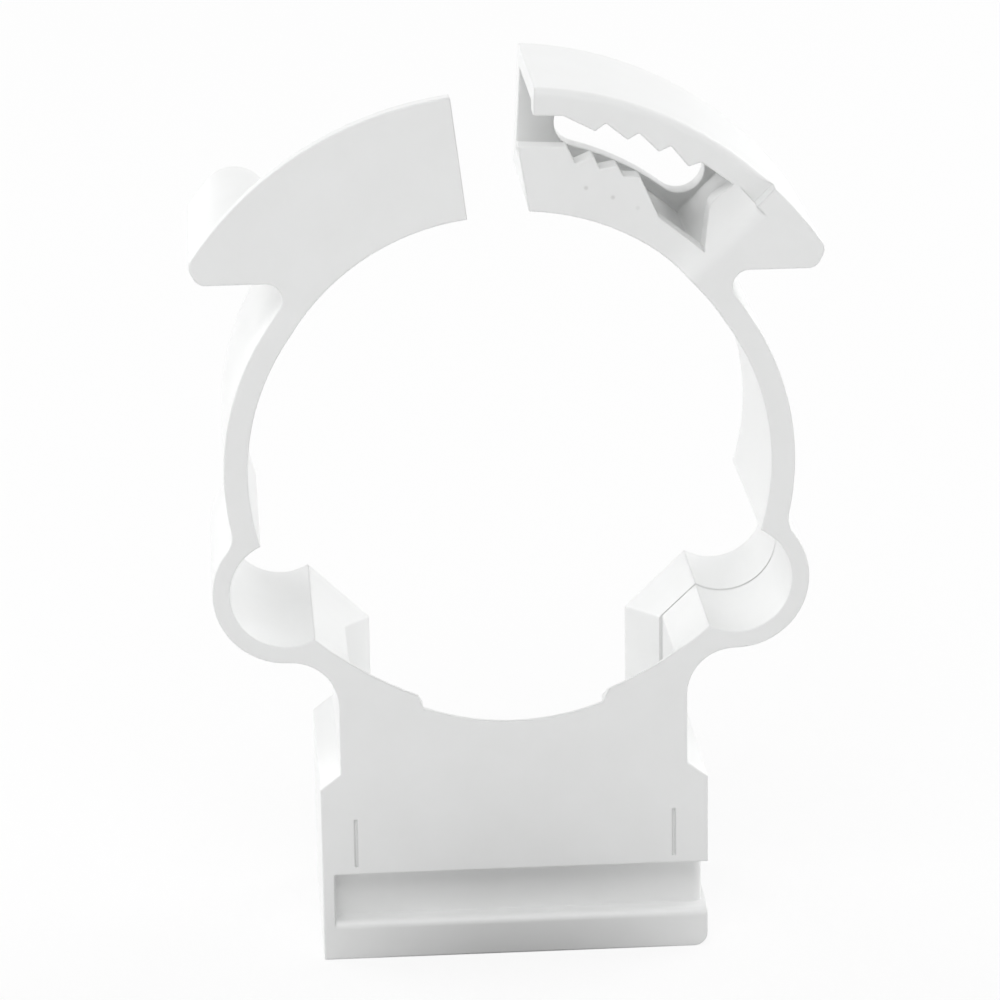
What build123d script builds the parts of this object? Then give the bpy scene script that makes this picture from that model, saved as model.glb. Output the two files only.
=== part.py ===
from build123d import *
import os
from math import sin, cos, tan, acos, atan2, radians, degrees, sqrt, hypot

# Pipe clip moulded in one piece: a hollow base with a seat for the pipe, two
# sprung hinge loops and two arms that snap into each other over the pipe.
# Millimetres. X runs across the clip, Y along the pipe with the front at -Y,
# Z up. The origin is the middle of the foot's underside.

# Pipe and overall sizes
pipe_r = 25.0
depth = 24.0
seat_z = 25.3            # lowest point of the seat above the foot
seat_half = 9.1          # half width of the seat arc
fit_gap = 0.3            # clearance between the cover plate and the box behind it

# Foot and base
neck_in = 7.4            # the neck's half width is this much less than the pipe's radius
shoulder_w = 2.1         # how far the base stands out beyond the neck
shoulder_z = 18.6
neck_z = 20.2
foot_z = 4.1
foot_corner_r = 1.4
foot_edge_r = 0.8        # along the foot's upper edges, front and back
groove_h = 5.15          # mounting groove above the foot
groove_in = 2.05         # its depth at front and back
groove_side = 0.4        # and at the right end, where it runs out
groove_stop = 1.2        # wall that closes it at the left end
waist_r = 1.0
floor_z = 5.0
kerb_up = 1.75           # thick lower part of the front wall, above the groove
kerb_in = 3.8
web_t = 2.0              # front wall
web_lip = 0.4            # width left flat on the wall's top edge
web_fall = 1.0           # drop of the slope behind that edge
post_t = 1.2             # side walls in the front half
post_more = 2.9          # how much thicker they are at the back
post_turn = 13.0         # depth at which they start to thicken
post_fall = 43.5         # slope of the post tops, degrees
seam_up = 0.15           # behind the mould's parting line the right post and loop stand higher
seam_in = 0.3            # and the post's inner wall stands further in
screw_r = 2.6
screw_head_r = 5.0
score_in = 3.5           # two fine score lines above the groove, from the base's sides
score_up = 0.85
score_len = 5.1
score_w = 0.3
score_deep = 0.2

# Hinge loops; directions are degrees from +Z, turning outwards
loop_in = 2.4            # how far the loop centres lie inside the pipe's radius
loop_drop = 10.7         # and below the pipe's centre
loop_r = 5.57            # inside radius
loop_t = 1.75
loop_fillet = 4.8        # between the loop and the base
loop_nook_r = 2.6        # between the loop and the strap
loop_top = 25.0          # tip where the strap comes in, degrees
loop_cusp = 209.8        # tip above the base, degrees
cusp_r = 0.5
step_w = 0.5             # step beside the seat
step_h = 1.34
rise_sag = 0.52          # hollow of the sloping shoulders between step and loop

# Arms, moulded open; radii and directions are taken from each arm's own centre
arm_x = 1.0
arm_up = 3.27            # arm centres above the pipe's centre
arm_pinch = 1.0          # the arms are this much tighter than the pipe
head_t = 12.3
strap_t = 2.4
wing_up = 17.93          # underside of the wings above the arm centre
wing_end = 1.95          # height of a wing at its tip
wing_lean = 1.0          # how far the tip leans in at its foot
wing_r = 1.3
nook_r = 1.6             # corner between wing and strap
root_lead = 10.8         # from that corner down to the strap, degrees

# Left head: a cover plate with a toothed tongue behind it
plate_a = 7.0            # end of the plate, degrees
plate_t = 1.7
hump_lead = 2.7          # full-depth end, from the wing's corner, degrees
hump_r = 3.6
tongue_t = 1.0
tongue_gap = 0.65        # clearance over the tips of the lower jaw
tongue_reach = 4.6       # length behind the cover plate
catch_gap = 0.5          # clearance at the root under the tongue's one catch
tongue_tip_gap = 0.6     # clearance at the roots above its teeth
tongue_teeth = 3
tongue_rise = 0.62       # shares of the pitch: the slow side and the whole tooth
tongue_foot = 0.8

# Right head: a box with a toothed mouth
jaw_a = 3.0              # end of the box, degrees
jaw_low_a = 0.4          # end of the lower jaw at the mouth, degrees
bar_lead = 3.2           # end of the plate's recess above the mouth, from the wing's corner, degrees
cheek_lead = 0.4         # and beside the mouth, where a slope rises to the full depth
cheek_r = 2.0            # rounding at the top of that slope
cheek_cove_r = 3.9       # hollow at its foot
jaw_t = 2.8              # front wall that carries the teeth
jaw_r = 0.9              # rounding of the box's front outer edge
skin_t = 1.9
back_t = 3.0
teeth = 4
lower_up = 6.65          # first tip of the lower jaw above the bore
lower_h = 1.45
lower_fall = 0.3         # each tip is this much lower than the one before
lower_first = 9.6        # first tip, degrees
lower_pitch = 4.86       # degrees
lower_drop = 0.38        # share of the pitch taken by the steep side
mouth_h = 2.1            # from the lower tips to the upper ones
upper_h = 1.0
upper_first = 13.8       # first tip, degrees
upper_pitch = 5.8        # degrees
upper_drop = 0.25
finger_up = 2.9          # foot of the lower jaw's inner end above the bore
finger_lead = 7.4        # from the last lower tip to that foot, degrees
mouth_lead = 6.75        # from the last upper root to the mouth's inner end, degrees
mouth_skew = 3.8         # how much further in that end lies at the bottom, degrees
mouth_bulge = 5.2        # and how much less far in it lies at its knee, degrees
mouth_bulge_up = 7.0     # height of the knee above the bore
mouth_r = 2.0            # rounding of the knee
mouth_open = -4.0        # a direction well outside the mouth, degrees
hollow_wall = 3.3        # from the hollow's end to the recess's, degrees
window_up = 3.0          # oval window above the bore
window_h = 5.2
window_a0 = 15.4         # centres of its round ends, degrees
window_a1 = 37.6

# Places and radii that follow from these
front = -depth / 2
neck_half = pipe_r - neck_in
base_half = neck_half + shoulder_w
waist_half = base_half - groove_side
groove_z = foot_z + groove_h
kerb_z = groove_z + kerb_up
well_half = neck_half - post_t
well_back = well_half - post_more
seat_c = seat_z + pipe_r
loop_x = pipe_r - loop_in
loop_z = seat_c - loop_drop
loop_out = loop_r + loop_t
arm_z = seat_c + arm_up
wing_z = arm_z + wing_up
head_in = pipe_r - arm_pinch
head_out = head_in + head_t
root_out = head_in + strap_t
nook_a = degrees(acos(wing_up / root_out))
root_a = nook_a + root_lead
wing_a = degrees(acos((wing_up + wing_end) / head_out))
hump_a = nook_a - hump_lead
cheek_a = nook_a - cheek_lead
bar_a = nook_a - bar_lead
hollow_a = cheek_a - hollow_wall
lower_r = head_in + lower_up
lower_root = lower_r - lower_h
upper_r = lower_r + mouth_h
upper_root = upper_r + upper_h
finger_r = head_in + finger_up
finger_a = lower_first + (teeth - 1) * lower_pitch + finger_lead
mouth_a = upper_first + (teeth - 1 + upper_drop) * upper_pitch + mouth_lead
mouth_low_a = mouth_a + mouth_skew
knee_r = head_in + mouth_bulge_up
knee_a = mouth_low_a - mouth_bulge
tongue_in = lower_r + tongue_gap
tongue_out = tongue_in + tongue_t
window_lo = head_in + window_up
recess = plate_t + fit_gap
slope_a = acos(1 - recess / (cheek_r + cheek_cove_r))
slope_w = (cheek_r + cheek_cove_r) * sin(slope_a)


def spot(r, deg):
    return (arm_x + r * sin(radians(deg)), arm_z + r * cos(radians(deg)))


def on_loop(r, deg):
    return (loop_x + r * sin(radians(deg)), loop_z + r * cos(radians(deg)))


def sweep(place, r, start, end):
    return ThreePointArc(place(r, start), place(r, (start + end) / 2), place(r, end))


def outline(*edges):
    whole = edges[0]
    for edge in edges[1:]:
        whole = whole + edge
    return make_face(whole)


def sector(place, r0, r1, start, end):
    inner = sweep(place, r0, start, end)
    outer = sweep(place, r1, start, end)
    return outline(inner, Line(inner @ 1, outer @ 1), outer, Line(outer @ 0, inner @ 0))


def soften(face, point, radius):
    # round the corner of a profile that lies nearest to a point
    return fillet(face.vertices().sort_by_distance((*point, 0))[0], radius)


def block(sketch, near, far):
    # a profile drawn in X and Z, made solid between two depths behind the front
    return extrude(Plane.XZ.offset(depth / 2 - near) * sketch, amount=near - far)


def along(start, end, behind, profile):
    # a profile drawn square to a line on the face at some depth, X to the line's left and Y
    # towards the front, made solid along the line
    x, z = end[0] - start[0], end[1] - start[1]
    plane = Plane((start[0], front + behind, start[1]), x_dir=(-z, 0, x), z_dir=(x, 0, z))
    return extrude(plane * profile, amount=hypot(x, z))


def edge_near(part, point, behind):
    return part.edges().sort_by_distance((point[0], front + behind, point[1]))[0]


def level(sketch, low, high):
    return extrude(Plane.XY.offset(low) * sketch, amount=high - low)


def rect(x0, x1, y0, y1):
    return Pos((x0 + x1) / 2, (y0 + y1) / 2) * Rectangle(x1 - x0, y1 - y0)


def flip(part):
    return part.mirror(Plane.YZ)


# Base: half outline up to the loop, shared by the front wall and the posts
cusp = on_loop(loop_r, loop_cusp)
fillet_x = neck_half + loop_fillet
fillet_z = loop_z - sqrt((loop_out + loop_fillet) ** 2 - (loop_x - fillet_x) ** 2)
fillet_a = degrees(atan2(fillet_x - loop_x, fillet_z - loop_z)) % 360
meet = on_loop(loop_out, fillet_a)
neck_mid = (fillet_x - loop_fillet * cos(radians(45)), fillet_z + loop_fillet * sin(radians(45)))
side = Polyline((base_half, 0), (base_half, shoulder_z), (neck_half, neck_z), (neck_half, fillet_z))
neck = ThreePointArc((neck_half, fillet_z), neck_mid, meet)
under = Line(meet, on_loop(loop_r, fillet_a))
lip = sweep(on_loop, loop_r, fillet_a, loop_cusp)

# Front wall with the seat, its top edge falling away behind
seat_edge = (seat_half, seat_c - sqrt(pipe_r ** 2 - seat_half ** 2))
seat_mid = (seat_half / 2, seat_c - sqrt(pipe_r ** 2 - seat_half ** 2 / 4))
step_top = (seat_half + step_w, seat_edge[1] + step_h)
rise = SagittaArc(cusp, step_top, rise_sag)
step = Line(step_top, seat_edge)
seat = ThreePointArc(seat_edge, seat_mid, (0, seat_z))
middle = Polyline((0, seat_z), (0, 0), (base_half, 0))
wall = block(soften(outline(side, neck, under, lip, rise, step, seat, middle), cusp, cusp_r), 0, web_t)


def fall_away(arc, x0, x1):
    # wedge that takes the wall's top edge down behind one arc of its outline
    cone = Rot(-90, 0, 0) * Cone(arc.radius, arc.radius + web_fall, web_t - web_lip)
    cone = Pos(arc.arc_center.X, front + (web_lip + web_t) / 2, arc.arc_center.Y) * cone
    return cone & block(rect(x0, x1, 0, loop_z), web_lip, web_t)


wall -= fall_away(seat, 0, seat_half)
wall -= fall_away(rise, seat_half, well_half)

# Posts behind the wall, sloping down from the loops to the hollow
post_top = cusp[1] - (cusp[0] - well_back) * tan(radians(post_fall))
post_line = Polyline(cusp, (well_back, post_top), (well_back, 0), (base_half, 0))
post_face = soften(outline(side, neck, under, lip, post_line), cusp, cusp_r)
post = block(post_face, web_t, depth)

base = wall + flip(wall) + post + flip(post)
ring = sector(on_loop, loop_r, loop_out, loop_top, loop_cusp)
higher = rect(well_back, loop_x + loop_r, fillet_z, loop_z + seam_up / 2)
for face in (post_face, ring):
    base += block(Pos(0, seam_up) * face & higher, post_turn, depth)
base += block(rect(-base_half, base_half, 0, floor_z), 0, depth)
base += block(rect(-well_half, well_half, 0, kerb_z), 0, kerb_in)


def well(near):
    # plan of the hollow from a depth behind the front out through the back
    left = [(-well_half, front + near), (-well_half, front + post_turn), (-well_back, -front)]
    right = [(well_half, front + near), (well_half, front + post_turn)]
    right += [(well_half - seam_in, front + post_turn), (well_back, -front)]
    return make_face(Polyline(*left, *reversed(right), close=True))


base -= level(well(web_t), kerb_z, loop_z)
base -= level(well(kerb_in), floor_z, kerb_z)

# Mounting groove round the foot, screw hole and score lines
waist = rect(-base_half, waist_half, front + groove_in, -front - groove_in)
waist = fillet(waist.vertices().group_by(Axis.X)[-1], waist_r)
around = rect(groove_stop - base_half, 2 * base_half, 2 * front, -2 * front) - waist
base -= level(around, foot_z, groove_z)
foot_edge = rect(front, front + foot_edge_r, foot_z - foot_edge_r, foot_z)
foot_edge -= Pos(front + foot_edge_r, foot_z - foot_edge_r) * Circle(foot_edge_r)
foot_edge = Pos(groove_stop - base_half, 0, 0) * extrude(Plane.YZ * foot_edge, amount=2 * base_half)
base -= foot_edge + foot_edge.mirror(Plane.XZ)
base -= Pos(0, 0, floor_z / 2) * Cylinder(screw_r, floor_z)
sink = screw_head_r - screw_r
base -= Pos(0, 0, floor_z - sink / 2) * Cone(screw_r, screw_head_r, sink)
score_x = base_half - score_in
score_z = groove_z + score_up
score = block(rect(score_x - score_w / 2, score_x + score_w / 2, score_z, score_z + score_len), 0, score_deep)
base -= score + flip(score)
foot_corner = rect(base_half - foot_corner_r, base_half, 0, foot_corner_r)
foot_corner -= Pos(base_half - foot_corner_r, foot_corner_r) * Circle(foot_corner_r)
base -= block(foot_corner, 0, depth)

# Hinge loop and strap, the same on both sides; the strap ends on the loop's tip
tip = on_loop(loop_r, loop_top)
tip_r = hypot(tip[0] - arm_x, tip[1] - arm_z)
tip_a = degrees(atan2(tip[0] - arm_x, tip[1] - arm_z))
half_a = (root_a + tip_a) / 2
half_r = (head_in + tip_r) / 2
run = [(head_in, root_a), (half_r, half_a), (tip_r, tip_a)]
strap_in = ThreePointArc(*[spot(r, a) for r, a in run])
strap_out = ThreePointArc(*[spot(r + strap_t, a) for r, a in run])
strap = outline(strap_in, Line(strap_in @ 1, strap_out @ 1), strap_out, Line(strap_out @ 0, strap_in @ 0))
band = ring + strap
band = soften(band, strap_out @ 0.97, loop_nook_r)
arm = block(band, 0, depth)

# Head outline from a start direction round to the wing and its underside
nook = spot(root_out, nook_a)
wing_tip = spot(head_out, wing_a)
wing_low = (wing_tip[0] - wing_lean, wing_z)


def head(start):
    outer = sweep(spot, head_out, start, wing_a)
    inner = sweep(spot, head_in, start, root_a)
    root = sweep(spot, root_out, nook_a, root_a)
    tail = Polyline(outer @ 1, wing_low, nook)
    face = outline(outer, tail, root, Line(root @ 1, inner @ 1), inner, Line(inner @ 0, outer @ 0))
    face = soften(face, wing_tip, wing_r)
    face = soften(face, wing_low, wing_r)
    return soften(face, nook, nook_r)


# Left head: cover plate, rounded full-depth end and tongue, drawn on the right and flipped over
plate = block(head(plate_a), 0, plate_t)
hump = block(soften(head(hump_a), spot(head_out, hump_a), hump_r), plate_t, depth)
tongue_end = plate_t + tongue_reach
tongue = sector(spot, tongue_in, tongue_out, plate_a, nook_a)


middle_r = (tongue_in + tongue_out) / 2


def tongue_tooth(tip_r, start, pitch):
    # slow side first, so that the tongue slides in and catches on the way out
    points = [(middle_r, start), (tip_r, start + tongue_rise * pitch), (middle_r, start + tongue_foot * pitch)]
    return make_face(Polyline(*[spot(*p) for p in points], close=True))


tongue += tongue_tooth(lower_root + catch_gap, plate_a, lower_pitch)
for k in range(tongue_teeth):
    tongue += tongue_tooth(upper_root - tongue_tip_gap, plate_a + k * upper_pitch, upper_pitch)
left = flip(arm + plate + hump + block(tongue, plate_t / 2, tongue_end))

# Right head: a box set back behind the cover plate, with a rounded step up to the full depth
box = block(head(jaw_a), recess, depth)
box = fillet(edge_near(box, spot(head_out, (jaw_a + wing_a) / 2), recess), jaw_r)
box += block(head(cheek_a), 0, depth)
box += block(sector(spot, upper_root, head_out, bar_a, cheek_a), 0, recess)
bend = (cheek_r * sin(slope_a), recess - cheek_r * (1 - cos(slope_a)))
crest = RadiusArc((0, recess), bend, cheek_r)
cove = RadiusArc(bend, (slope_w, 0), -cheek_cove_r)
slope = outline(crest, cove, Polyline((slope_w, 0), (0, 0), (0, recess)))
ramp = along(spot(head_in - recess, cheek_a), spot(upper_root, cheek_a), recess, slope)
box += ramp & block(head(jaw_a), 0, recess)
low_end = [spot(head_in, jaw_a), spot(lower_r, jaw_low_a), spot(lower_r, jaw_a)]
box += block(make_face(Polyline(*low_end, close=True)), recess, recess + jaw_t)

# Mouth with two rows of teeth of different pitch, cut through the front of the box
upper = [spot(upper_root, mouth_open), spot(upper_root, upper_first - upper_pitch)]
for k in range(teeth):
    a = upper_first + k * upper_pitch
    upper += [spot(upper_r, a), spot(upper_root, a + upper_drop * upper_pitch)]
upper += [spot(upper_root, mouth_a), spot(knee_r, knee_a)]
upper += [spot(finger_r, mouth_low_a), spot(finger_r, finger_a)]
lower = [spot(lower_r, mouth_open)]
for k in range(teeth):
    a = lower_first + k * lower_pitch
    lower += [spot(lower_r - k * lower_fall, a), spot(lower_root, a + lower_drop * lower_pitch)]
mouth = make_face(Polyline(*upper, *reversed(lower[:-1]), close=True))
mouth = soften(mouth, spot(knee_r, knee_a), mouth_r)
box -= block(mouth, 0, recess + jaw_t)

# Hollow behind the mouth and the oval window in the back wall
hollow = sector(spot, head_in + skin_t, head_out - skin_t, mouth_open, hollow_a)
box -= block(hollow, recess + jaw_t, depth - back_t)
window = sector(spot, window_lo, window_lo + window_h, window_a0, window_a1)
window += [Pos(*spot(window_lo + window_h / 2, a)) * Circle(window_h / 2) for a in (window_a0, window_a1)]
box -= block(window, depth - back_t, depth)
right = arm + box

clip = base + left + right
clip.label = "pipe_clip"

os.makedirs("parts", exist_ok=True)
export_step(clip, "parts/pipe_clip.step")
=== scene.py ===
import math

import bmesh
import bpy
from mathutils import Matrix, Vector


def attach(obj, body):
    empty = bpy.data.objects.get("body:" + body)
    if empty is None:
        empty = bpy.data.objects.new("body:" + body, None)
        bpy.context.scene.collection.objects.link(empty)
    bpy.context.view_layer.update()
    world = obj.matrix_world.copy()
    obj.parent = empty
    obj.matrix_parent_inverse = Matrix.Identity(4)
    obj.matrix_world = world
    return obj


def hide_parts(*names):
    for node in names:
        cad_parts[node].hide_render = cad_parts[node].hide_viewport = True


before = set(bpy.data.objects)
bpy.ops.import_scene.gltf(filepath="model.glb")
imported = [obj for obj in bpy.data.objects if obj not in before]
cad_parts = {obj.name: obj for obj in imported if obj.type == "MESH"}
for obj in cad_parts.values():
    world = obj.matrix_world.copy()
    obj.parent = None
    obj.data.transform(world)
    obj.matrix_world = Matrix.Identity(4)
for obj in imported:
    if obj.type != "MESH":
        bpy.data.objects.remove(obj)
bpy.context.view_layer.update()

MM = 0.001

# Camera, as the photograph was taken
AIM = Vector((-1.103, -12.0, 48.72)) * MM
TURN = math.radians(-3.738)
RISE = math.radians(17.5)
ROLL = math.radians(-0.776)
DISTANCE = 446.56 * MM
LENS = 161.9
SENSOR = 36.0
NEAREST = 0.01

# Clip: rounding that the mould leaves on its edges, and the room that an edge needs to be rounded
EDGE_SOFT = 0.14 * MM
EDGE_STEPS = 3
EDGE_ROOM = 0.45 * MM
SAME_POINT = 1e-6
NO_REACH = 1e-7
FLAT_ANGLE = math.radians(0.4)
SHARP_ANGLE = math.radians(28.0)
SMOOTH_ANGLE = math.radians(40.0)

# Right arm's centre and the outside of its head, in millimetres
ARM_X = 1.0
ARM_Z = 53.57
HEAD_OUT = 36.3

# Nick behind the bar's end on the right head: direction in degrees, radius and depth in millimetres
NICK_TURN = (44.05, 46.9)
NICK_OUT = (HEAD_OUT - 1.0, HEAD_OUT)
NICK_DEPTH = (-10.01, -9.05)

# Slope beside the mouth, in the same measures
CHEEK_TURN = (36.0, 50.0)
CHEEK_OUT = (23.0, 36.2)
CHEEK_BACK = -6.0

# Countersink of the screw hole, in millimetres
SINK_OUT = 5.6
SINK_TOP = 5.2

# Other corners where edges run too close together to be rounded: x, y and z from and to, in millimetres
CROWDED = (
    ((-12.0, 12.0), (-11.2, -9.9), (24.0, 28.2)),    # behind the seat's edge
    ((-6.0, -4.5), (-13.0, -5.0), (83.0, 85.0)),     # tip of the tongue
    ((-28.5, -27.0), (-10.5, -10.0), (77.0, 78.5)),  # behind the left plate
    ((2.3, 3.6), (-13.0, -8.9), (88.8, 91.0)),       # corner of the upper jaw
    ((18.5, 23.0), (-7.4, -7.0), (72.0, 82.0)),      # behind the mouth
    ((21.9, 22.9), (-13.0, 13.0), (79.2, 80.2)),     # upper tip of the mouth
    ((18.9, 20.8), (-11.5, 13.0), (33.9, 35.9)),     # tip between the right post and its loop
    ((-20.8, -18.9), (-11.5, 13.0), (33.9, 35.9)),   # and the left one
)

# Plastic
PLASTIC_WHITE = (0.865, 0.87, 0.867, 1.0)
PLASTIC_DULL = (0.845, 0.85, 0.845, 1.0)
# Lighter white on polished edges: a painted highlight on the rounded edges
PLASTIC_RUBBED_AND_HIGHLIGHT = (0.90, 0.903, 0.90, 1.0)
SHEEN = 0.45
SATIN = (0.36, 0.46)
POLISH_GAIN = -0.08
GRAIN_SIZE = 0.4 * MM
GRAIN_DEEP = 0.012 * MM
FINE_GRAIN = 0.5
RIPPLE_SIZE = 9.0 * MM
RIPPLE_DEEP = 0.05 * MM
RELIEF = 0.5
NOISE_ROUGH = 0.55
CLOUD_SIZE = 6.0 * MM
CLOUD_RANGE = (0.3, 0.7)
PATCH_SIZE = 4.0 * MM
PATCH_RANGE = (0.35, 0.65)
PATCH_LEAST = 0.35
EDGE_RUB = 0.3 * MM
EDGE_SAMPLES = 6
EDGE_TURNED = (0.995, 0.80)

# Three small round marks on the lower jaw: places in millimetres, and how plain they are
PIN_MARKS = (((7.87, -10.0, 79.77), 1.0), ((10.5, -10.0, 78.75), 1.0), ((12.95, -10.0, 77.6), 0.45))
PIN_SIZE = 0.32 * MM
PIN_MIDDLE = 0.2 * PIN_SIZE
PIN_DARK = (0.70, 0.70, 0.693, 1.0)
PIN_DEEP = -2.5

# Floor: pale, but it throws little light back up just in front of the foot, where its colour for that
# light is a painted shadow, nearly dark
FLOOR_SIZE = 6.0
FLOOR_PALE = 0.9
FLOOR_PAINTED_SHADOW = 0.02
FLOOR_WHITE = 0.8
SHADE_SPOT = Vector((0.0, -16.0, 0.0)) * MM
SHADE_REACH = 28.0 * MM

# Light from all round, overhead and near the horizon
OVERHEAD = 0.56
AROUND = 0.40

# Lamps: name, place and size across in metres, power in watts
LAMP_AIM = Vector((0, 0, 0.05))
LAMPS = (
    ("left behind", (-0.8, 0.6, 0.4), 0.8, 4.0),
    ("right behind", (0.8, 0.6, 0.4), 0.8, 4.2),
    ("left side", (-1.0, 0.0, 0.35), 0.8, 1.0),
    ("right side", (1.0, 0.0, 0.35), 0.8, 1.6),
    ("left front", (-0.6, -0.35, 0.8), 0.7, 0.8),
    ("high front", (-0.1, -0.6, 0.9), 0.7, 3.0),
)


def only(obj):
    bpy.ops.object.select_all(action="DESELECT")
    obj.select_set(True)
    bpy.context.view_layer.objects.active = obj


def within(value, limits):
    return limits[0] < value < limits[1]


def from_arm(x, z):
    """Distance and direction from the centre of the right arm, in millimetres and degrees from +Z."""
    return math.hypot(x - ARM_X, z - ARM_Z), math.degrees(math.atan2(x - ARM_X, z - ARM_Z))


def room_beside(edge, face):
    """How far a face reaches in from the middle of one of its edges."""
    middle = (edge.verts[0].co + edge.verts[1].co) / 2
    loop = next(loop for loop in face.loops if loop.edge == edge)
    along = (loop.link_loop_next.vert.co - loop.vert.co).normalized()
    inward = face.normal.cross(along)
    room = math.inf
    for other in face.edges:
        start, end = other.verts[0].co - middle, other.verts[1].co - middle
        before, after = start.dot(along), end.dot(along)
        if other != edge and (before <= 0) != (after <= 0):
            reach = start.lerp(end, before / (before - after)).dot(inward)
            if reach > NO_REACH:
                room = min(room, reach)
    return room


def stays_sharp(place):
    """Whether edges run too close together here to be rounded; the place is in millimetres."""
    x, y, z = place
    out, turn = from_arm(x, z)
    if within(out, CHEEK_OUT) and within(turn, CHEEK_TURN) and y < CHEEK_BACK:
        return True
    if math.hypot(x, y) < SINK_OUT and z < SINK_TOP:
        return True
    return any(all(within(v, limits) for v, limits in zip(place, box)) for box in CROWDED)


def weigh_edges(mesh):
    """Marks the sharp edges that have room to be rounded."""
    shape = bmesh.new()
    shape.from_mesh(mesh)
    weight = shape.edges.layers.float.new("bevel_weight_edge")
    for edge in shape.edges:
        middle = (edge.verts[0].co + edge.verts[1].co) / 2
        if edge.calc_face_angle(0) > SHARP_ANGLE and not stays_sharp(middle / MM):
            if min(room_beside(edge, face) for face in edge.link_faces) > EDGE_ROOM:
                edge[weight] = 1.0
    shape.to_mesh(mesh)
    shape.free()


def fill_nick(mesh):
    """Fills the nick behind the bar's end on the right head, out to the head's round outside."""
    shape = bmesh.new()
    shape.from_mesh(mesh)
    for vert in shape.verts:
        x, y, z = vert.co / MM
        out, turn = from_arm(x, z)
        if within(turn, NICK_TURN) and within(out, NICK_OUT) and within(y, NICK_DEPTH):
            vert.co.x = (ARM_X + (x - ARM_X) * HEAD_OUT / out) * MM
            vert.co.z = (ARM_Z + (z - ARM_Z) * HEAD_OUT / out) * MM
    bmesh.ops.remove_doubles(shape, verts=shape.verts, dist=SAME_POINT)
    bmesh.ops.dissolve_degenerate(shape, edges=shape.edges, dist=SAME_POINT)
    shape.to_mesh(mesh)
    shape.free()


def merge_triangles(clip):
    """Joins the loose triangles of the clip, and makes one face of those that lie flat together."""
    only(clip)
    bpy.ops.mesh.customdata_custom_splitnormals_clear()
    bpy.ops.object.mode_set(mode="EDIT")
    bpy.ops.mesh.select_all(action="SELECT")
    bpy.ops.mesh.remove_doubles(threshold=SAME_POINT)
    bpy.ops.object.mode_set(mode="OBJECT")
    fill_nick(clip.data)
    bpy.ops.object.mode_set(mode="EDIT")
    bpy.ops.mesh.select_all(action="SELECT")
    bpy.ops.mesh.dissolve_limited(angle_limit=FLAT_ANGLE)
    bpy.ops.object.mode_set(mode="OBJECT")


def round_edges(clip):
    """Rounds the edges that have room, and keeps the shading of flat faces flat."""
    weigh_edges(clip.data)
    soft = clip.modifiers.new("soft edges", "BEVEL")
    soft.width = EDGE_SOFT
    soft.segments = EDGE_STEPS
    soft.limit_method = "WEIGHT"
    soft.use_clamp_overlap = False
    soft.miter_outer = "MITER_ARC"
    bpy.ops.object.modifier_apply(modifier=soft.name)
    bpy.ops.object.shade_smooth_by_angle(angle=SMOOTH_ANGLE)
    flat = clip.modifiers.new("flat faces stay flat", "WEIGHTED_NORMAL")
    flat.keep_sharp = True
    bpy.ops.object.modifier_apply(modifier=flat.name)


def moulded_clip():
    """The moulding with its sharp edges rounded as a mould leaves them."""
    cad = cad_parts["pipe_clip"]
    clip = cad.copy()
    clip.data = cad.data.copy()
    clip.name = "moulded_clip"
    clip.data.name = "moulded_clip"
    bpy.context.scene.collection.objects.link(clip)
    clip.parent = None
    merge_triangles(clip)
    round_edges(clip)
    return clip


def new_group(name, gives):
    """An empty node group that takes a place, and its two end nodes."""
    group = bpy.data.node_groups.new(name, "ShaderNodeTree")
    group.interface.new_socket("Place", in_out="INPUT", socket_type="NodeSocketVector")
    for label, kind in gives:
        group.interface.new_socket(label, in_out="OUTPUT", socket_type=kind)
    return group, group.nodes.new("NodeGroupInput"), group.nodes.new("NodeGroupOutput")


def add_group(nodes, link, group, place):
    """Puts a node group in a material."""
    node = nodes.new("ShaderNodeGroup")
    node.node_tree = group
    link(place, node.inputs["Place"])
    return node.outputs


def speckle(nodes, link, place, size, detail):
    """Noise whose blotches are about one size across, in metres."""
    noise = nodes.new("ShaderNodeTexNoise")
    noise.inputs["Scale"].default_value = 1.0 / size
    noise.inputs["Detail"].default_value = detail
    noise.inputs["Roughness"].default_value = NOISE_ROUGH
    link(place, noise.inputs["Vector"])
    return noise.outputs["Fac"]


def sum_of(nodes, link, first, second, share):
    """One value plus a share of another."""
    both = nodes.new("ShaderNodeMath")
    both.operation = "MULTIPLY_ADD"
    both.inputs[1].default_value = share
    link(second, both.inputs[0])
    link(first, both.inputs[2])
    return both.outputs[0]


def of_two(nodes, link, way, first, second):
    """Two values put together, such as by MULTIPLY or MAXIMUM."""
    both = nodes.new("ShaderNodeMath")
    both.operation = way
    link(first, both.inputs[0])
    link(second, both.inputs[1])
    return both.outputs[0]


def spread(nodes, link, value, limits, levels=(0.0, 1.0), soft=False):
    """Turns a value that passes from one limit to the other into one that passes between two levels."""
    step = nodes.new("ShaderNodeMapRange")
    if soft:
        step.interpolation_type = "SMOOTHSTEP"
    step.inputs["From Min"].default_value, step.inputs["From Max"].default_value = limits
    step.inputs["To Min"].default_value, step.inputs["To Max"].default_value = levels
    link(value, step.inputs["Value"])
    return step.outputs["Result"]


def away_from(nodes, link, place, spot):
    """Distance from a spot."""
    away = nodes.new("ShaderNodeVectorMath")
    away.operation = "DISTANCE"
    away.inputs[1].default_value = spot
    link(place, away.inputs[0])
    return away.outputs["Value"]


def blend_to(nodes, link, mask, colour, other):
    """A colour that passes to another where a mask is 1."""
    mix = nodes.new("ShaderNodeMix")
    mix.data_type = "RGBA"
    mix.inputs["B"].default_value = other
    link(mask, mix.inputs["Factor"])
    link(colour, mix.inputs["A"])
    return mix.outputs["Result"]


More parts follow.
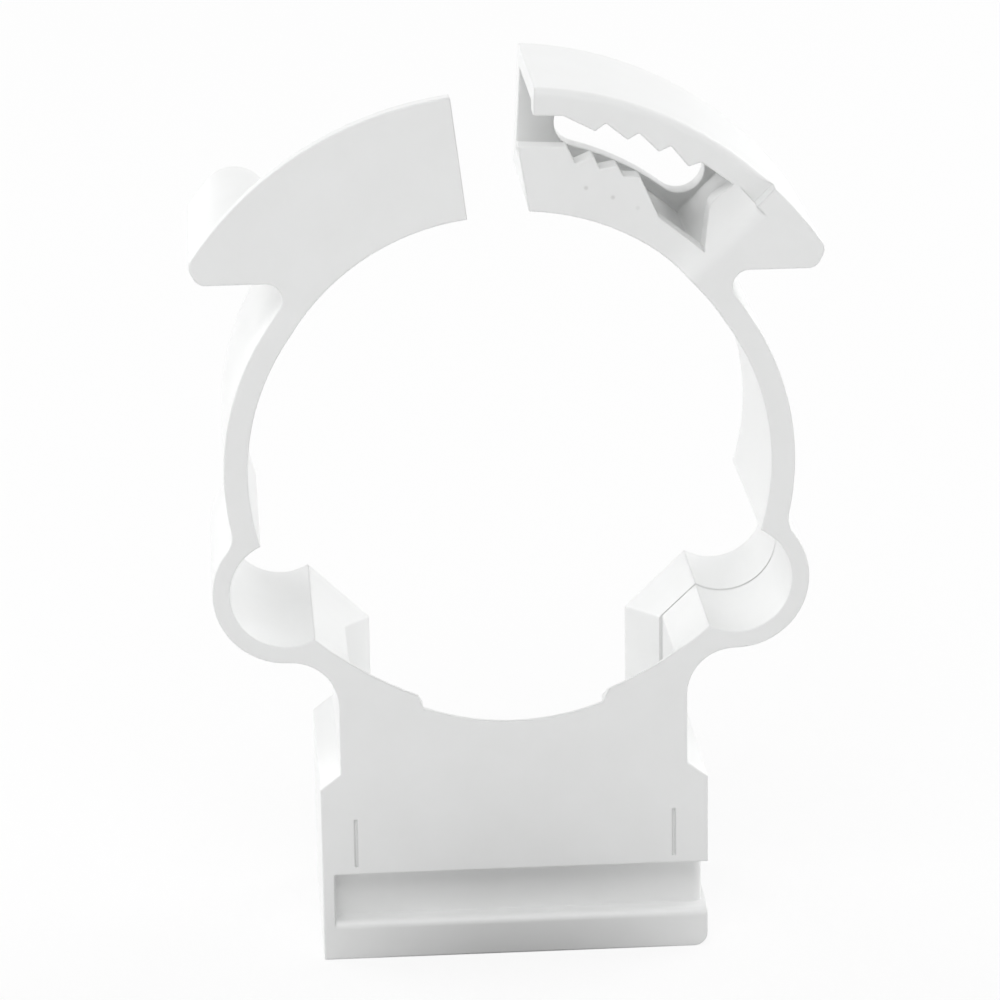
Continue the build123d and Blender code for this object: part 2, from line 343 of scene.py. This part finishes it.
def raised(nodes, link, height, deep, under):
    """Normals of a surface with a relief on it."""
    bump = nodes.new("ShaderNodeBump")
    bump.inputs["Strength"].default_value = RELIEF
    bump.inputs["Distance"].default_value = deep
    link(height, bump.inputs["Height"])
    link(under, bump.inputs["Normal"])
    return bump.outputs["Normal"]


def seen_ray(nodes, link):
    """1 for what the camera sees, also in a shine or through something clear."""
    ray = nodes.new("ShaderNodeLightPath").outputs
    shine = of_two(nodes, link, "MAXIMUM", ray["Is Camera Ray"], ray["Is Glossy Ray"])
    return of_two(nodes, link, "MAXIMUM", shine, ray["Is Transmission Ray"])


def pin_marks():
    """Small shallow round marks that pins of the mould leave."""
    group, start, end = new_group("pin marks", [("Mark", "NodeSocketFloat")])
    nodes, link = group.nodes, group.links.new
    marks = None
    for spot, plain in PIN_MARKS:
        away = away_from(nodes, link, start.outputs["Place"], Vector(spot) * MM)
        mark = spread(nodes, link, away, (PIN_MIDDLE, PIN_SIZE), (plain, 0.0), soft=True)
        marks = mark if marks is None else sum_of(nodes, link, marks, mark, 1.0)
    link(marks, end.inputs["Mark"])
    return group


def moulded_skin():
    """What the mould prints on the plastic: a fine matt grain, slow ripples and faint clouding."""
    group, start, end = new_group(
        "moulded skin",
        [("Grain", "NodeSocketFloat"), ("Ripple", "NodeSocketFloat"), ("Clouding", "NodeSocketFloat")])
    nodes, link = group.nodes, group.links.new
    place = start.outputs["Place"]
    grain = speckle(nodes, link, place, GRAIN_SIZE, detail=2.0)
    fine = speckle(nodes, link, place, GRAIN_SIZE / 4, detail=1.0)
    link(sum_of(nodes, link, grain, fine, FINE_GRAIN), end.inputs["Grain"])
    link(speckle(nodes, link, place, RIPPLE_SIZE, detail=0.0), end.inputs["Ripple"])
    link(speckle(nodes, link, place, CLOUD_SIZE, detail=3.0), end.inputs["Clouding"])
    return group


def edges_polish_and_highlight():
    """Edges as they look rounded, and where handling has polished them, in patches; the same mask
    paints a lighter highlight on them.
    """
    group, start, end = new_group(
        "edges, polish and painted highlight",
        [("Polish and highlight", "NodeSocketFloat"), ("Rounded", "NodeSocketVector")])
    nodes, link = group.nodes, group.links.new
    rounded = nodes.new("ShaderNodeBevel")
    rounded.samples = EDGE_SAMPLES
    rounded.inputs["Radius"].default_value = EDGE_RUB
    turned = nodes.new("ShaderNodeVectorMath")
    turned.operation = "DOT_PRODUCT"
    link(rounded.outputs["Normal"], turned.inputs[0])
    link(nodes.new("ShaderNodeNewGeometry").outputs["Normal"], turned.inputs[1])
    near_edge = spread(nodes, link, turned.outputs["Value"], EDGE_TURNED)
    blotches = speckle(nodes, link, start.outputs["Place"], PATCH_SIZE, detail=3.0)
    patches = spread(nodes, link, blotches, PATCH_RANGE, (PATCH_LEAST, 1.0))
    link(of_two(nodes, link, "MULTIPLY", near_edge, patches), end.inputs["Polish and highlight"])
    link(rounded.outputs["Normal"], end.inputs["Rounded"])
    return group


def white_plastic():
    """Satin white plastic as it comes from the mould, a little polished at its edges, with a painted
    highlight on them.
    """
    mat = bpy.data.materials.new("white moulded plastic")
    mat.use_nodes = True
    nodes, link = mat.node_tree.nodes, mat.node_tree.links.new
    shader = nodes["Principled BSDF"]
    shader.inputs["Specular IOR Level"].default_value = SHEEN
    place = nodes.new("ShaderNodeTexCoord").outputs["Object"]
    skin = add_group(nodes, link, moulded_skin(), place)
    edges = add_group(nodes, link, edges_polish_and_highlight(), place)
    pins = add_group(nodes, link, pin_marks(), place)

    colour = nodes.new("ShaderNodeValToRGB")
    dull, white = colour.color_ramp.elements
    dull.position, white.position = CLOUD_RANGE
    dull.color, white.color = PLASTIC_DULL, PLASTIC_WHITE
    link(skin["Clouding"], colour.inputs["Fac"])
    # Polished edges painted lighter: a painted highlight on the rounded edges, on top of their lower
    # roughness
    rubbed_and_highlighted = blend_to(nodes, link, edges["Polish and highlight"], colour.outputs["Color"], PLASTIC_RUBBED_AND_HIGHLIGHT)
    link(blend_to(nodes, link, pins["Mark"], rubbed_and_highlighted, PIN_DARK), shader.inputs["Base Color"])

    satin = spread(nodes, link, skin["Clouding"], CLOUD_RANGE, SATIN)
    link(sum_of(nodes, link, satin, edges["Polish and highlight"], POLISH_GAIN), shader.inputs["Roughness"])

    ripple = raised(nodes, link, skin["Ripple"], RIPPLE_DEEP, edges["Rounded"])
    pitted = sum_of(nodes, link, skin["Grain"], pins["Mark"], PIN_DEEP)
    link(raised(nodes, link, pitted, GRAIN_DEEP, ripple), shader.inputs["Normal"])
    return mat


def floor_paint():
    """White to look at, but painted nearly dark in front of the foot to the light that it throws back:
    a painted shadow that darkens the foot's front.
    """
    mat = bpy.data.materials.new("pale floor")
    mat.use_nodes = True
    nodes, link = mat.node_tree.nodes, mat.node_tree.links.new
    nodes.clear()
    seen = seen_ray(nodes, link)
    away = away_from(nodes, link, nodes.new("ShaderNodeTexCoord").outputs["Object"], SHADE_SPOT)
    # Painted shadow: the floor's colour for bounced light, nearly dark near the foot and pale further
    # off
    near = spread(nodes, link, away, (0.0, SHADE_REACH), (FLOOR_PAINTED_SHADOW, FLOOR_PALE), soft=True)
    shade = nodes.new("ShaderNodeMapRange")
    shade.inputs["To Max"].default_value = FLOOR_PALE
    link(near, shade.inputs["To Min"])
    link(seen, shade.inputs["Value"])
    paint = nodes.new("ShaderNodeBsdfDiffuse")
    link(shade.outputs["Result"], paint.inputs["Color"])
    white = nodes.new("ShaderNodeEmission")
    white.inputs["Color"].default_value = (1, 1, 1, 1)
    mix = nodes.new("ShaderNodeMixShader")
    link(spread(nodes, link, seen, (0.0, 1.0), (0.0, FLOOR_WHITE)), mix.inputs[0])
    link(paint.outputs[0], mix.inputs[1])
    link(white.outputs[0], mix.inputs[2])
    link(mix.outputs[0], nodes.new("ShaderNodeOutputMaterial").inputs["Surface"])
    return mat


def lay_floor():
    bpy.ops.object.select_all(action="DESELECT")
    bpy.ops.mesh.primitive_plane_add(size=FLOOR_SIZE, location=(0, 0, 0))
    floor = bpy.context.object
    floor.name = "floor"
    floor.data.materials.append(floor_paint())


def light_world():
    """Light from all round, and white where the camera sees past the floor."""
    world = bpy.data.worlds.new("studio")
    bpy.context.scene.world = world
    world.use_nodes = True
    nodes, link = world.node_tree.nodes, world.node_tree.links.new
    nodes.clear()
    parts = nodes.new("ShaderNodeSeparateXYZ")
    link(nodes.new("ShaderNodeTexCoord").outputs["Generated"], parts.inputs[0])
    glow = nodes.new("ShaderNodeBackground")
    glow.inputs["Color"].default_value = (1, 1, 1, 1)
    level = spread(nodes, link, parts.outputs["Z"], (0.0, 1.0), (AROUND, OVERHEAD))
    link(level, glow.inputs["Strength"])
    white = nodes.new("ShaderNodeBackground")
    white.inputs["Color"].default_value = (1, 1, 1, 1)
    white.inputs["Strength"].default_value = 1.0
    mix = nodes.new("ShaderNodeMixShader")
    link(seen_ray(nodes, link), mix.inputs[0])
    link(glow.outputs[0], mix.inputs[1])
    link(white.outputs[0], mix.inputs[2])
    link(mix.outputs[0], nodes.new("ShaderNodeOutputWorld").inputs["Surface"])


def hang_lamp(name, place, size, power):
    data = bpy.data.lights.new(name, "AREA")
    data.shape = "DISK"
    data.size = size
    data.energy = power
    lamp = bpy.data.objects.new(name, data)
    bpy.context.scene.collection.objects.link(lamp)
    lamp.location = Vector(place)
    lamp.rotation_euler = (LAMP_AIM - Vector(place)).to_track_quat("-Z", "Y").to_euler()


def set_camera():
    back = Vector((math.sin(TURN) * math.cos(RISE), -math.cos(TURN) * math.cos(RISE), math.sin(RISE)))
    right = Vector((math.cos(TURN), math.sin(TURN), 0))
    up = back.cross(right)
    across = right * math.cos(ROLL) + up * math.sin(ROLL)
    upward = up * math.cos(ROLL) - right * math.sin(ROLL)
    data = bpy.data.cameras.new("camera")
    data.lens = LENS
    data.sensor_width = SENSOR
    data.clip_start = NEAREST
    camera = bpy.data.objects.new("camera", data)
    bpy.context.scene.collection.objects.link(camera)
    turn = Matrix((across, upward, back)).transposed().to_4x4()
    camera.matrix_world = Matrix.Translation(AIM + back * DISTANCE) @ turn
    bpy.context.scene.camera = camera


clip = moulded_clip()
clip.data.materials.clear()
clip.data.materials.append(white_plastic())
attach(clip, "root")
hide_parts("pipe_clip")

lay_floor()
light_world()
for name, place, size, power in LAMPS:
    hang_lamp(name, place, size, power)
set_camera()

bpy.context.scene.view_settings.view_transform = "Standard"
